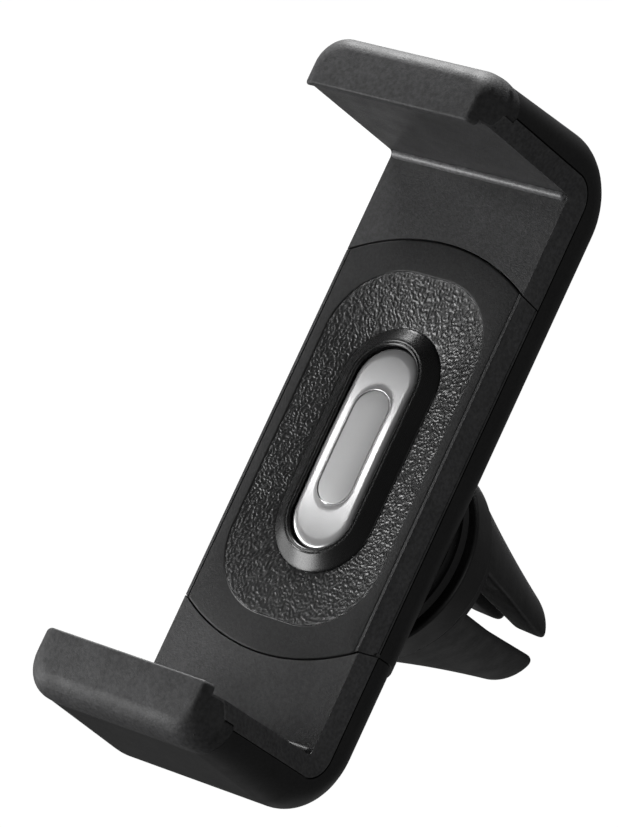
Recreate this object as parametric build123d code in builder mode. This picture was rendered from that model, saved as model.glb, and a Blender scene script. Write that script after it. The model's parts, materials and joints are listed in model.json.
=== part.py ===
"""Spring-jawed phone holder for a car air vent.

The phone stands upright between two jaws. The long axis of the holder lies along X: the fixed jaw is at
the -X end and the sliding jaw at the +X end. The phone's back rests on the face plate, which looks along
-Y, and the clip reaches along +Y into the vent. The origin is on the swivel axis, at the floor of the
louvre slots. Depths below are measured from the front face along +Y, and reaches from the middle of the
closed gap along X.
"""

from build123d import *
import os

# ---- driving dimensions (mm) ----
CLOSED_GAP = 58.0  # between the jaws with the slide home
TRAVEL = 22.0  # how far the sliding jaw opens
HALF_FACE = 11.0  # half width of the front face
HALF_BODY = 11.75  # half width where the side strip meets the shell
STRIP_DEPTH = 2.2  # depth of the front pieces
STRIP_LAND = 0.2  # straight part of the strip beside the shell
BODY_DEPTH = 6.75  # front face to back of the shell
JAW_ROOT = 6.25
JAW_LEAN = 0.058  # a jaw's outside leans in by this much per millimetre towards its tip
JAW_REACH = 16.6  # front face to the tip of a jaw
CAP_START = 12.6  # front face to the soft cap of a jaw
EDGE_ROUND = 3.0
CORNER_ROUND = 7.5  # outside of the bend from body to jaw
CREASE_ROUND = 0.6  # inside of the bend
SEAM_RADIUS = 21.4  # both curved seams lie on one circle about the body's centre
SEAM_GAP = 0.12
CLIP_OFFSET = 6.24  # swivel axis to the middle of the closed gap
FACE_TO_SLOT = 14.3  # front face to the floor of the louvre slots

# ---- places worked out from them ----
CENTRE_X = -CLIP_OFFSET
FACE_Y = -FACE_TO_SLOT
HALF_GAP = CLOSED_GAP / 2
JAW_OUTER = HALF_GAP + JAW_ROOT
FIXED = -1
SLIDING = 1

# ---- walls ----
PANEL = 1.3  # front panel of a jaw liner
SHELL_WALL = 1.3
CAVITY_HALF = 10.2
LINER_POCKET_HALF = 9.9
SLIDE_SHELL_INSET = 0.3  # the sliding shell's back lies a little inside the body's back
CAP_LIP = 0.45  # how far a cap's lip stands above its liner
CAP_PROUD = 0.15
CAP_ROUND = 2.4
CAP_STEP = 1.6  # a cap leaves this much of the liner's side showing
LIP_START = 15.7  # front face to the lip, where the liner ends
PLAN_ROUND = 2.6
CORE_HALF = 10.0
CORE_REACHES = (31.2, 33.0)
CORE_TIP = 15.2

# ---- face plate, inlay and badge ----
PLATE_HALF = 10.7
PLATE_THICKNESS = 1.4
WEB_DEPTH = 2.05
INLAY_HALF = 9.2
INLAY_LENGTH = 35.8
INLAY_ROUND = 7.0
INLAY_RIM_DEPTH = 0.12
DISH_DEPTH = 0.75
BEZEL_HALF = 5.8
BEZEL_LENGTH = 25.4
BEZEL_TOP_HALF = 4.15
BEZEL_TOP_LENGTH = 22.1
BEZEL_PROUD = 0.1
BADGE_HALF = 3.6
BADGE_LENGTH = 21.1
BADGE_DEPTH = 0.9
BADGE_CLEARANCE = 0.1
OVAL_HALF = 2.15
OVAL_LENGTH = 12.0
OVAL_RECESS = 0.25
OVAL_SUNK = 0.08
BADGE_ROUND = 0.25
GROOVE = 0.12
PLATE_RIM_ROUND = 0.25
TAB_LENGTH = 4.8

# ---- slide ----
TONGUE_FRONT = 2.15
TONGUE_PLATE_BACK = 3.1
TONGUE_HALF = 8.9
TONGUE_WALL = 0.9
TONGUE_WALL_BACK = 5.15
TONGUE_END = -19.0
TONGUE_JAW_END = 31.0
TONGUE_WALL_END = 26.5
RAIL_HALF = 9.0
RAIL_OUTER = 10.1
RAIL_BACK = 4.6
RAIL_START = -18.8
RAIL_END = 15.5
SPRING_Z = 6.7
SPRING_DEPTH = 4.2
SPRING_RADIUS = 1.0
SPRING_BORE = 0.6
SPRING_FIXED_REACH = -26.0
SPRING_MOVING_REACH = 12.0
PIN_RADIUS = 0.55
STOP_REACH = 10.0
STOP_RADIUS = 1.2

# ---- screws ----
SCREW_SHANK = 1.0
SCREW_HEAD = 1.8
SCREW_HEAD_DEPTH = 1.2
SCREW_TIP_DEPTH = 0.7
BOSS_RADIUS = 1.9
PILLAR_RADIUS = 2.3
HEAD_SUNK = 0.15
CROSS_WIDTH = 0.5
CROSS_DEPTH = 0.5
COVER_SCREW_REACH = 23.6
COVER_SCREW_Z = 3.2
JAW_SCREW_REACH = 27.2
JAW_SCREW_Z = 4.6
SEAT_SCREW_OFFSET = 7.6
SEAT_SCREW_HEAD = 1.6
SEAT_SCREW_HEAD_DEPTH = 0.8
SEAT_SCREW_TIP_DEPTH = 8.3

# ---- swivel ----
POST_RADIUS = 3.0
RUNNING_GAP = 0.05
SEAT_STEP_RADIUS = 10.3
SEAT_RADIUS = 10.62
SEAT_STEP_DEPTH = 7.54
SEAT_BACK = 8.74
THRUST_RADIUS = 9.0
COLLAR_FRONT = 9.43
COLLAR_BACK = 13.33
COLLAR_FRONT_RADIUS = 11.06
COLLAR_BACK_RADIUS = 10.43
COLLAR_BORE = 8.6
COLLAR_FLOOR = 10.6
AXLE_HEAD_RADIUS = 2.75
AXLE_HEAD_FRONT = 3.35
RETAINER_FRONT = 4.15
RETAINER_BACK = 4.8
RETAINER_RADIUS = 5.2
AXLE_SHANK = 1.5
AXLE_TIP_DEPTH = 11.4

# ---- clip ----
CLIP_TURN = 4.1  # the clip stands turned this many degrees about the swivel
CORE_FLANGE_BACK = 12.2
FINGER_CENTRE = 3.5
FINGER_SIZE = 1.6
FINGER_END = 25.0
PRONG_ROOT_RADIUS = 10.25
PRONG_END = 34.4
PRONG_END_RADIUS = 4.0
PRONG_END_ROUND = 1.8
SLOT_ROOT_HALF = 2.1
SLOT_WAIST_HALF = 1.83
SLOT_WAIST_DEPTH = 21.6
SLOT_GRIP_HALF = 1.0
SLOT_MOUTH_HALF = 2.0
SLOT_MOUTH_DEPTH = 32.4


def depth(value):
    """Y of a depth below the front face."""
    return FACE_Y + value


def reach(side, value):
    """X of a distance from the middle of the closed gap, towards one jaw."""
    return CENTRE_X + side * value


def surface(offset):
    """Surface that lies offset behind the phone's side: (depth, reach, bend radius, lean)."""
    return (offset, HALF_GAP + offset, CREASE_ROUND + offset, 0)


def outside(back, wall=0):
    """Outside of a shell, or its cavity's wall: (depth, reach, bend radius, lean)."""
    return (back - wall, JAW_OUTER - wall, CORNER_ROUND - wall, JAW_LEAN)


def face_plane(value):
    """Plane across the holder at a depth: its x axis is X, its y axis is Z and its normal looks forward."""
    return Plane(origin=(0, depth(value), 0), x_dir=(1, 0, 0), z_dir=(0, -1, 0))


def pair(side, value, z):
    """Two places, one each side of the long axis."""
    return [(reach(side, value), z), (reach(side, value), -z)]


def ell(side, start, tip, inner, outer):
    """L-shaped outline of a jaw and its part of the body, between two surfaces."""
    inner_tip = inner[1] - inner[3] * (tip + inner[0])
    outer_tip = outer[1] - outer[3] * (tip + outer[0])
    with BuildSketch() as outline:
        with BuildLine():
            Polyline(
                (reach(side, start), depth(inner[0])),
                (reach(side, inner[1]), depth(inner[0])),
                (reach(side, inner_tip), depth(-tip)),
                (reach(side, outer_tip), depth(-tip)),
                (reach(side, outer[1]), depth(outer[0])),
                (reach(side, start), depth(outer[0])),
                close=True,
            )
        make_face()
        for bend_depth, bend_reach, radius, _ in (inner, outer):
            corner = (reach(side, bend_reach), depth(bend_depth), 0)
            fillet(outline.vertices().sort_by_distance(corner)[0], radius)
    return outline.sketch


def prism(outline, half):
    """Outline in the XY plane drawn out by half each way along Z."""
    with BuildPart() as solid:
        with BuildSketch(Plane.XY):
            add(outline)
        extrude(amount=half, both=True)
    return solid.part


def seam_cylinder(radius):
    """Tall cylinder about the body's centre whose wall is the curved seam."""
    with BuildPart() as tool:
        with BuildSketch(face_plane(-JAW_REACH)):
            with Locations((CENTRE_X, 0)):
                Circle(radius)
        extrude(amount=-2 * (BODY_DEPTH + JAW_REACH))
    return tool.part


def rounded_block(near, far, half, length, radius, middle=CENTRE_X):
    """Rounded rectangle between two depths."""
    with BuildPart() as block:
        with BuildSketch(face_plane(far)):
            with Locations((middle, 0)):
                RectangleRounded(length, 2 * half, radius)
        extrude(amount=far - near)
    return block.part


def tapered_island(near, near_half, near_length, far, far_half, far_length):
    """Long-hole shaped island whose sides slope between two depths."""
    with BuildPart() as island:
        with BuildSketch(face_plane(far)) as base:
            with Locations((CENTRE_X, 0)):
                SlotOverall(far_length, 2 * far_half)
        with BuildSketch(face_plane(near)) as top:
            with Locations((CENTRE_X, 0)):
                SlotOverall(near_length, 2 * near_half)
        loft([base.sketch, top.sketch], ruled=True)
    return island.part


def long_hole(near, far, half, length):
    """Straight long-hole shape between two depths."""
    with BuildPart() as block:
        with BuildSketch(face_plane(far)):
            with Locations((CENTRE_X, 0)):
                SlotOverall(length, 2 * half)
        extrude(amount=far - near)
    return block.part


def rod(radius, near, far, places):
    """Round rods along Y between two depths."""
    with BuildPart() as rods:
        with BuildSketch(face_plane(far)):
            with Locations(*places):
                Circle(radius)
        extrude(amount=far - near)
    return rods.part


def ring(outer, inner, near, far):
    """Flat ring on the swivel axis between two depths."""
    with BuildPart() as washer:
        with BuildSketch(face_plane(far)):
            Circle(outer)
            Circle(inner, mode=Mode.SUBTRACT)
        extrude(amount=far - near)
    return washer.part


body_circle = seam_cylinder(SEAM_RADIUS)
jaw_circle = seam_cylinder(SEAM_RADIUS + SEAM_GAP)
parts = {}


# ---- jaws: liner, shell and soft cap ----
def slab(side, near, far, half, tip, start):
    """Block between two reaches, from a height above the front face to another below it."""
    with BuildPart() as block:
        with BuildSketch(face_plane(-start)):
            with Locations((reach(side, (near + far) / 2), 0)):
                Rectangle(far - near, 2 * half)
        extrude(amount=tip - start)
    return block.part


def tip_core(side):
    """Tongue at the end of a shell that carries the soft cap."""
    return slab(side, CORE_REACHES[0], CORE_REACHES[1], CORE_HALF, CORE_TIP, CAP_START - PANEL)


def tip_plan(side, near, far):
    """A jaw's tip seen along X, with rounded corners, drawn out between two reaches."""
    half = HALF_BODY + CAP_PROUD
    plane = Plane(origin=(reach(side, near), 0, 0), x_dir=(0, 1, 0), z_dir=(side, 0, 0))
    with BuildPart() as plan:
        with BuildSketch(plane):
            with Locations((depth(0), 0)):
                RectangleRounded(2 * JAW_REACH, 2 * half, PLAN_ROUND)
        extrude(amount=far - near)
    return plan.part


def jaw_liner(side, screw_reach, screw_z, boss_end):
    """Inner L of a jaw: a tray with flared side strips and two screw bosses."""
    full = ell(side, 0, LIP_START, surface(0), surface(STRIP_DEPTH))
    land = ell(side, 0, LIP_START, surface(STRIP_DEPTH - STRIP_LAND), surface(STRIP_DEPTH))
    pocket = prism(
        ell(side, -1, CAP_START - PANEL, surface(PANEL), surface(STRIP_DEPTH)), LINER_POCKET_HALF
    )
    places = pair(side, screw_reach, screw_z)
    bosses = rod(BOSS_RADIUS, PANEL, boss_end, places)
    pilots = rod(SCREW_SHANK, SCREW_TIP_DEPTH, STRIP_DEPTH, places)
    under_cap = slab(
        side, HALF_GAP + CAP_STEP, HALF_GAP + 2 * STRIP_DEPTH, 2 * HALF_BODY, JAW_REACH, CAP_START
    )
    plan = tip_plan(side, -HALF_GAP, JAW_OUTER)
    with BuildPart() as liner:
        with BuildSketch(Plane.XY.offset(HALF_FACE)) as narrow:
            add(full)
        with BuildSketch(Plane.XY.offset(HALF_BODY)) as wide:
            add(land)
        loft([narrow.sketch, wide.sketch], ruled=True)
        mirror(about=Plane.XY)
        add(prism(full, HALF_FACE))
        add(pocket, mode=Mode.SUBTRACT)
        add(bosses)
        add(pilots, mode=Mode.SUBTRACT)
        add(jaw_circle, mode=Mode.SUBTRACT)
        add(under_cap, mode=Mode.SUBTRACT)
        add(plan, mode=Mode.INTERSECT)
    return liner.part


def jaw_shell(side, start, back, screw_reach, screw_z, pillar_front):
    """Outer L of a jaw and its part of the body, hollow, with its outside edges rounded."""
    cavity = prism(
        ell(side, start - 1, CAP_START - PANEL, surface(STRIP_DEPTH), outside(back, SHELL_WALL)),
        CAVITY_HALF,
    )
    places = pair(side, screw_reach, screw_z)
    pillars = rod(PILLAR_RADIUS, pillar_front, back - SHELL_WALL / 2, places)
    shanks = rod(SCREW_SHANK + 0.1, 0, back, places)
    heads = rod(SCREW_HEAD + 0.1, back - SCREW_HEAD_DEPTH, back, places)
    core = tip_core(side)
    with BuildPart() as shell:
        with BuildSketch(Plane.XY):
            add(ell(side, start, CAP_START, surface(STRIP_DEPTH), outside(back)))
        extrude(amount=HALF_BODY, both=True)
        last = 0 if side == FIXED else -1
        bend = shell.faces().filter_by(GeomType.CYLINDER).sort_by(Axis.X)[last]
        wall = shell.faces().sort_by(Axis.X)[last]
        outer_faces = [shell.faces().sort_by(Axis.Y)[-1], bend, wall]
        rims = [edge for face in outer_faces for edge in face.edges() if abs(edge.center().Z) > HALF_FACE]
        fillet(rims, EDGE_ROUND)
        add(cavity, mode=Mode.SUBTRACT)
        add(pillars)
        add(core)
        add(shanks, mode=Mode.SUBTRACT)
        add(heads, mode=Mode.SUBTRACT)
    return shell.part


def tip_cap(side):
    """Soft cap over the end of a jaw; its lip stands a little above the liner."""
    near = HALF_GAP - CAP_LIP
    far = JAW_OUTER + CAP_PROUD
    knee = HALF_GAP + STRIP_DEPTH
    half = HALF_BODY + CAP_PROUD
    far_start = far - JAW_LEAN * (CAP_START + BODY_DEPTH)
    far_tip = far - JAW_LEAN * (JAW_REACH + BODY_DEPTH)
    last = 0 if side == FIXED else -1
    with BuildPart() as flare:
        with BuildSketch(face_plane(-CAP_START)):
            with BuildLine():
                Polyline(
                    (reach(side, near), -HALF_FACE),
                    (reach(side, near), HALF_FACE),
                    (reach(side, knee), half),
                    (reach(side, far), half),
                    (reach(side, far), -half),
                    (reach(side, knee), -half),
                    close=True,
                )
            make_face()
        extrude(amount=JAW_REACH - CAP_START)
    with BuildPart() as block:
        with BuildSketch(Plane.XY):
            with BuildLine():
                Polyline(
                    (reach(side, near), depth(-CAP_START)),
                    (reach(side, near), depth(-JAW_REACH)),
                    (reach(side, far_tip), depth(-JAW_REACH)),
                    (reach(side, far_start), depth(-CAP_START)),
                    close=True,
                )
            make_face()
        extrude(amount=half, both=True)
        tip_edges = block.faces().sort_by(Axis.Y)[0].edges()
        fillet(tip_edges.filter_by(Axis.X), PLAN_ROUND)
        back_end = block.faces().sort_by(Axis.Y)[-1]
        top = block.faces().sort_by(Axis.X)[last]
        fillet(top.edges() - back_end.edges(), CAP_ROUND)
        add(flare.part, mode=Mode.INTERSECT)
        add(slab(side, near - 1, HALF_GAP + CAP_STEP, 2 * half, LIP_START, 0), mode=Mode.SUBTRACT)
        add(tip_core(side), mode=Mode.SUBTRACT)
    return block.part


def shell_screws(side, screw_reach, screw_z, back):
    """Two pan-head screws driven from behind into a liner's bosses."""
    places = pair(side, screw_reach, screw_z)
    shanks = rod(SCREW_SHANK, SCREW_TIP_DEPTH, back - SCREW_HEAD_DEPTH, places)
    with BuildPart() as screws:
        with BuildSketch(face_plane(back - HEAD_SUNK)):
            with Locations(*places):
                Circle(SCREW_HEAD)
        extrude(amount=SCREW_HEAD_DEPTH - HEAD_SUNK)
        with BuildSketch(face_plane(back - HEAD_SUNK)):
            with Locations(*places):
                Rectangle(SCREW_HEAD, CROSS_WIDTH)
                Rectangle(CROSS_WIDTH, SCREW_HEAD)
        extrude(amount=CROSS_DEPTH, mode=Mode.SUBTRACT)
        add(shanks)
    return screws.part


parts["fixed_jaw_liner"] = jaw_liner(FIXED, COVER_SCREW_REACH, COVER_SCREW_Z, WEB_DEPTH)
parts["sliding_jaw_liner"] = jaw_liner(SLIDING, JAW_SCREW_REACH, JAW_SCREW_Z, TONGUE_FRONT)
parts["fixed_jaw_cap"] = tip_cap(FIXED)
parts["sliding_jaw_cap"] = tip_cap(SLIDING)

# the back shell runs on past the fixed jaw to the curved seam beside the sliding jaw
shell_solid = jaw_shell(
    FIXED, -SEAM_RADIUS - 1, BODY_DEPTH, COVER_SCREW_REACH, COVER_SCREW_Z, WEB_DEPTH
)
with BuildPart() as past_seam:
    with BuildSketch(Plane.XY):
        with Locations((reach(SLIDING, SEAM_RADIUS), depth(BODY_DEPTH / 2))):
            Rectangle(2 * SEAM_RADIUS, 2 * BODY_DEPTH)
    extrude(amount=2 * HALF_BODY, both=True)
    add(body_circle, mode=Mode.SUBTRACT)
seat_places = [(-SEAT_SCREW_OFFSET, 0), (SEAT_SCREW_OFFSET, 0)]
post_bore = rod(POST_RADIUS + RUNNING_GAP, TONGUE_PLATE_BACK, BODY_DEPTH, [(0, 0)])
seat_screw_bores = rod(SCREW_SHANK, BODY_DEPTH - SHELL_WALL, BODY_DEPTH, seat_places)
spring_pin_places = [(reach(SLIDING, SPRING_FIXED_REACH), z) for z in (-SPRING_Z, SPRING_Z)]
spring_pin_seats = rod(PIN_RADIUS, BODY_DEPTH - SHELL_WALL - 0.1, BODY_DEPTH - 0.4, spring_pin_places)
with BuildPart() as back_shell:
    add(shell_solid)
    add(past_seam.part, mode=Mode.SUBTRACT)
    add(post_bore, mode=Mode.SUBTRACT)
    add(seat_screw_bores, mode=Mode.SUBTRACT)
    add(spring_pin_seats, mode=Mode.SUBTRACT)
parts["back_shell"] = back_shell.part

SLIDE_BACK = BODY_DEPTH - SLIDE_SHELL_INSET
with BuildPart() as sliding_jaw_shell:
    add(jaw_shell(SLIDING, 0, SLIDE_BACK, JAW_SCREW_REACH, JAW_SCREW_Z, TONGUE_PLATE_BACK))
    add(jaw_circle, mode=Mode.SUBTRACT)
parts["sliding_jaw_shell"] = sliding_jaw_shell.part

parts["shell_screws"] = shell_screws(FIXED, COVER_SCREW_REACH, COVER_SCREW_Z, BODY_DEPTH)
parts["slide_screws"] = shell_screws(SLIDING, JAW_SCREW_REACH, JAW_SCREW_Z, SLIDE_BACK)


# ---- front: frame, face plate, inlay, bezel and badge ----
with BuildPart() as strips:
    with BuildSketch(face_plane(0)) as top_outline:
        with Locations((CENTRE_X, 0)):
            Rectangle(3 * SEAM_RADIUS, 2 * HALF_FACE)
    with BuildSketch(face_plane(STRIP_DEPTH - STRIP_LAND)) as knee_outline:
        with Locations((CENTRE_X, 0)):
            Rectangle(3 * SEAM_RADIUS, 2 * HALF_BODY)
    loft([top_outline.sketch, knee_outline.sketch], ruled=True)
    with BuildSketch(face_plane(STRIP_DEPTH)):
        with Locations((CENTRE_X, 0)):
            Rectangle(3 * SEAM_RADIUS, 2 * HALF_BODY)
    extrude(amount=STRIP_LAND)
plate_pocket = rounded_block(-1, PLATE_THICKNESS, PLATE_HALF, 3 * SEAM_RADIUS, 0.1)
under_pocket = rounded_block(WEB_DEPTH, STRIP_DEPTH + 1, CAVITY_HALF, 3 * SEAM_RADIUS, 0.1)
tab_places = pair(FIXED, COVER_SCREW_REACH, COVER_SCREW_Z)
tab_holes = rod(BOSS_RADIUS + 0.1, 0, STRIP_DEPTH, tab_places)
fixing_tab = rounded_block(
    PLATE_THICKNESS,
    WEB_DEPTH,
    COVER_SCREW_Z + BOSS_RADIUS + 1.2,
    2 * TAB_LENGTH,
    1.0,
    reach(FIXED, SEAM_RADIUS),
)
stop_place = (reach(SLIDING, STOP_REACH), 0)
stop_seat = rod(STOP_RADIUS, PLATE_THICKNESS, WEB_DEPTH, [stop_place])
with BuildPart() as front_frame:
    add(strips.part)
    add(plate_pocket, mode=Mode.SUBTRACT)
    add(under_pocket, mode=Mode.SUBTRACT)
    add(body_circle, mode=Mode.INTERSECT)
    add(fixing_tab)
    add(tab_holes, mode=Mode.SUBTRACT)
    add(stop_seat, mode=Mode.SUBTRACT)
parts["front_frame"] = front_frame.part

inlay_hole = rounded_block(-1, PLATE_THICKNESS, INLAY_HALF, INLAY_LENGTH, INLAY_ROUND)
with BuildPart() as face_plate:
    add(rounded_block(0, PLATE_THICKNESS, PLATE_HALF - GROOVE, 3 * SEAM_RADIUS, 0.1))
    add(body_circle, mode=Mode.INTERSECT)
    long_rims = face_plate.faces().sort_by(Axis.Y)[0].edges().filter_by(Axis.X)
    fillet(long_rims, PLATE_RIM_ROUND)
    add(inlay_hole, mode=Mode.SUBTRACT)
parts["face_plate"] = face_plate.part

with BuildPart() as dish:
    with BuildSketch(face_plane(DISH_DEPTH)) as dish_floor:
        with Locations((CENTRE_X, 0)):
            RectangleRounded(BEZEL_LENGTH, 2 * BEZEL_HALF, BEZEL_HALF - 0.01)
    with BuildSketch(face_plane(INLAY_RIM_DEPTH)) as dish_rim:
        with Locations((CENTRE_X, 0)):
            RectangleRounded(INLAY_LENGTH - 1.0, 2 * INLAY_HALF - 1.0, INLAY_ROUND - 0.5)
    loft([dish_floor.sketch, dish_rim.sketch], ruled=True)
bezel_seat = long_hole(-1, PLATE_THICKNESS, BEZEL_HALF, BEZEL_LENGTH)
with BuildPart() as textured_inlay:
    inlay_half = INLAY_HALF - GROOVE / 2
    add(rounded_block(INLAY_RIM_DEPTH, PLATE_THICKNESS, inlay_half, INLAY_LENGTH - GROOVE, INLAY_ROUND))
    add(dish.part, mode=Mode.SUBTRACT)
    add(bezel_seat, mode=Mode.SUBTRACT)
parts["textured_inlay"] = textured_inlay.part

badge_seat = long_hole(-1, BADGE_DEPTH, BADGE_HALF + BADGE_CLEARANCE, BADGE_LENGTH + 2 * BADGE_CLEARANCE)
with BuildPart() as bezel:
    add(
        tapered_island(
            -BEZEL_PROUD, BEZEL_TOP_HALF, BEZEL_TOP_LENGTH, DISH_DEPTH, BEZEL_HALF - 0.02, BEZEL_LENGTH - 0.04
        )
    )
    add(long_hole(DISH_DEPTH, PLATE_THICKNESS, BEZEL_HALF - 0.02, BEZEL_LENGTH - 0.04))
    add(badge_seat, mode=Mode.SUBTRACT)
parts["bezel"] = bezel.part

oval_recess = long_hole(-1, OVAL_RECESS, OVAL_HALF, OVAL_LENGTH)
with BuildPart() as badge_plate:
    add(long_hole(0, BADGE_DEPTH, BADGE_HALF, BADGE_LENGTH))
    fillet(badge_plate.faces().sort_by(Axis.Y)[0].edges(), BADGE_ROUND)
    add(oval_recess, mode=Mode.SUBTRACT)
parts["badge_plate"] = badge_plate.part
parts["badge_oval"] = long_hole(OVAL_SUNK, OVAL_RECESS, OVAL_HALF - 0.05, OVAL_LENGTH - 0.1)


# ---- slide: tongue, rails, springs, pins and stop ----
moving_pin_places = [(reach(SLIDING, SPRING_MOVING_REACH), z) for z in (-SPRING_Z, SPRING_Z)]
jaw_screw_places = pair(SLIDING, JAW_SCREW_REACH, JAW_SCREW_Z)
stop_slot_middle = reach(SLIDING, STOP_REACH - TRAVEL / 2)
stop_slot_half = STOP_RADIUS + RUNNING_GAP
wall_z = TONGUE_HALF - TONGUE_WALL / 2
with BuildPart() as slide_tongue:
    with BuildSketch(face_plane(TONGUE_PLATE_BACK)):
        with Locations((reach(SLIDING, (TONGUE_END + TONGUE_JAW_END) / 2), 0)):
            RectangleRounded(TONGUE_JAW_END - TONGUE_END, 2 * TONGUE_HALF, 1.5)
        with Locations((stop_slot_middle, 0)):
            SlotOverall(TRAVEL + 2 * stop_slot_half, 2 * stop_slot_half, mode=Mode.SUBTRACT)
        with Locations(*jaw_screw_places):
            Circle(SCREW_SHANK + 0.1, mode=Mode.SUBTRACT)
        with Locations(*moving_pin_places):
            Circle(PIN_RADIUS, mode=Mode.SUBTRACT)
    extrude(amount=TONGUE_PLATE_BACK - TONGUE_FRONT)
    with BuildSketch(face_plane(TONGUE_WALL_BACK - SLIDE_SHELL_INSET)):
        with Locations((reach(SLIDING, (TONGUE_END + 1.5 + TONGUE_WALL_END) / 2), 0)):
            with Locations((0, wall_z), (0, -wall_z)):
                Rectangle(TONGUE_WALL_END - TONGUE_END - 1.5, TONGUE_WALL)
    extrude(amount=TONGUE_WALL_BACK - SLIDE_SHELL_INSET - TONGUE_PLATE_BACK)
parts["slide_tongue"] = slide_tongue.part

with BuildPart() as guide_rails:
    with BuildSketch(face_plane(RAIL_BACK)):
        with Locations((reach(SLIDING, (RAIL_START + RAIL_END) / 2), 0)):
            with Locations((0, (RAIL_HALF + RAIL_OUTER) / 2), (0, -(RAIL_HALF + RAIL_OUTER) / 2)):
                Rectangle(RAIL_END - RAIL_START, RAIL_OUTER - RAIL_HALF)
    extrude(amount=RAIL_BACK - WEB_DEPTH)
parts["guide_rails"] = guide_rails.part

parts["spring_anchor_pins"] = rod(PIN_RADIUS, TONGUE_PLATE_BACK + 0.1, BODY_DEPTH - 0.4, spring_pin_places)
parts["spring_slide_pins"] = rod(PIN_RADIUS, TONGUE_FRONT, SPRING_DEPTH + SPRING_RADIUS, moving_pin_places)


def spring(z):
    """Closed tube of an extension spring between its two pins."""
    start = reach(SLIDING, SPRING_FIXED_REACH + PIN_RADIUS)
    end = reach(SLIDING, SPRING_MOVING_REACH - PIN_RADIUS)
    with BuildPart() as tube:
        with BuildSketch(Plane(origin=(start, depth(SPRING_DEPTH), z), x_dir=(0, 1, 0), z_dir=(1, 0, 0))):
            Circle(SPRING_RADIUS)
            Circle(SPRING_BORE, mode=Mode.SUBTRACT)
        extrude(amount=end - start)
    return tube.part


parts["return_spring_upper"] = spring(SPRING_Z)
parts["return_spring_lower"] = spring(-SPRING_Z)

parts["stop_pin"] = rod(STOP_RADIUS, PLATE_THICKNESS, TONGUE_PLATE_BACK, [stop_place])


# ---- swivel: seat, thrust washer, axle screw and its washers ----
with BuildPart() as swivel_seat:
    add(ring(SEAT_STEP_RADIUS, POST_RADIUS + RUNNING_GAP, BODY_DEPTH, SEAT_STEP_DEPTH))
    add(ring(SEAT_RADIUS, POST_RADIUS + RUNNING_GAP, SEAT_STEP_DEPTH, SEAT_BACK))
    rim = swivel_seat.faces().sort_by(Axis.Y)[-1].edges().sort_by(SortBy.RADIUS)[-1]
    fillet(rim, 0.3)
    add(rod(SCREW_SHANK, BODY_DEPTH, SEAT_SCREW_TIP_DEPTH, seat_places), mode=Mode.SUBTRACT)
parts["swivel_seat"] = swivel_seat.part

seat_heads = rod(
    SEAT_SCREW_HEAD,
    BODY_DEPTH - SHELL_WALL - SEAT_SCREW_HEAD_DEPTH,
    BODY_DEPTH - SHELL_WALL,
    seat_places,
)
with BuildPart() as seat_screws:
    add(seat_heads)
    add(rod(SCREW_SHANK, BODY_DEPTH - SHELL_WALL, SEAT_SCREW_TIP_DEPTH, seat_places))
parts["seat_screws"] = seat_screws.part

parts["thrust_washer"] = ring(THRUST_RADIUS, POST_RADIUS, SEAT_BACK + RUNNING_GAP, COLLAR_FRONT)
parts["friction_washer"] = ring(
    RETAINER_RADIUS, POST_RADIUS, RETAINER_BACK, BODY_DEPTH - SHELL_WALL - RUNNING_GAP
)
parts["retaining_washer"] = ring(RETAINER_RADIUS - 0.2, AXLE_SHANK, RETAINER_FRONT, RETAINER_BACK)

with BuildPart() as axle_screw:
    with BuildSketch(face_plane(RETAINER_FRONT)):
        Circle(AXLE_HEAD_RADIUS)
    extrude(amount=RETAINER_FRONT - AXLE_HEAD_FRONT)
    fillet(axle_screw.faces().sort_by(Axis.Y)[0].edges(), 0.3)
    with BuildSketch(face_plane(AXLE_HEAD_FRONT)):
        Rectangle(2.6, 0.6)
        Rectangle(0.6, 2.6)
    extrude(amount=-0.4, mode=Mode.SUBTRACT)
    add(rod(AXLE_SHANK, RETAINER_FRONT, AXLE_TIP_DEPTH, [(0, 0)]))
parts["axle_screw"] = axle_screw.part


# ---- clip: collar, core with its fingers, and the soft prongs ----
with BuildPart() as clip_collar:
    with BuildSketch(Plane.XY):
        with BuildLine():
            Polyline(
                (POST_RADIUS, depth(COLLAR_FRONT)),
                (COLLAR_FRONT_RADIUS, depth(COLLAR_FRONT)),
                (COLLAR_BACK_RADIUS, depth(COLLAR_BACK)),
                (COLLAR_BORE, depth(COLLAR_BACK)),
                (COLLAR_BORE, depth(COLLAR_FLOOR)),
                (POST_RADIUS, depth(COLLAR_FLOOR)),
                close=True,
            )
        make_face()
    revolve(axis=Axis.Y)
    circles = clip_collar.edges().filter_by(GeomType.CIRCLE)
    rims = circles.filter_by(lambda edge: edge.radius > COLLAR_BORE + 0.1)
    fillet(rims, 0.35)
parts["clip_collar"] = clip_collar.part

finger_places = [(x, z) for x in (-FINGER_CENTRE, FINGER_CENTRE) for z in (-FINGER_CENTRE, FINGER_CENTRE)]
with BuildPart() as fingers:
    with BuildSketch(face_plane(FINGER_END)):
        with Locations(*finger_places):
            RectangleRounded(FINGER_SIZE, FINGER_SIZE, 0.3)
    extrude(amount=FINGER_END - CORE_FLANGE_BACK)
with BuildPart() as clip_core:
    add(ring(COLLAR_BORE, AXLE_SHANK, COLLAR_FLOOR, CORE_FLANGE_BACK))
    add(ring(POST_RADIUS, AXLE_SHANK, RETAINER_BACK, COLLAR_FLOOR))
    add(fingers.part, rotation=(0, CLIP_TURN, 0))
parts["clip_core"] = clip_core.part

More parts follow.
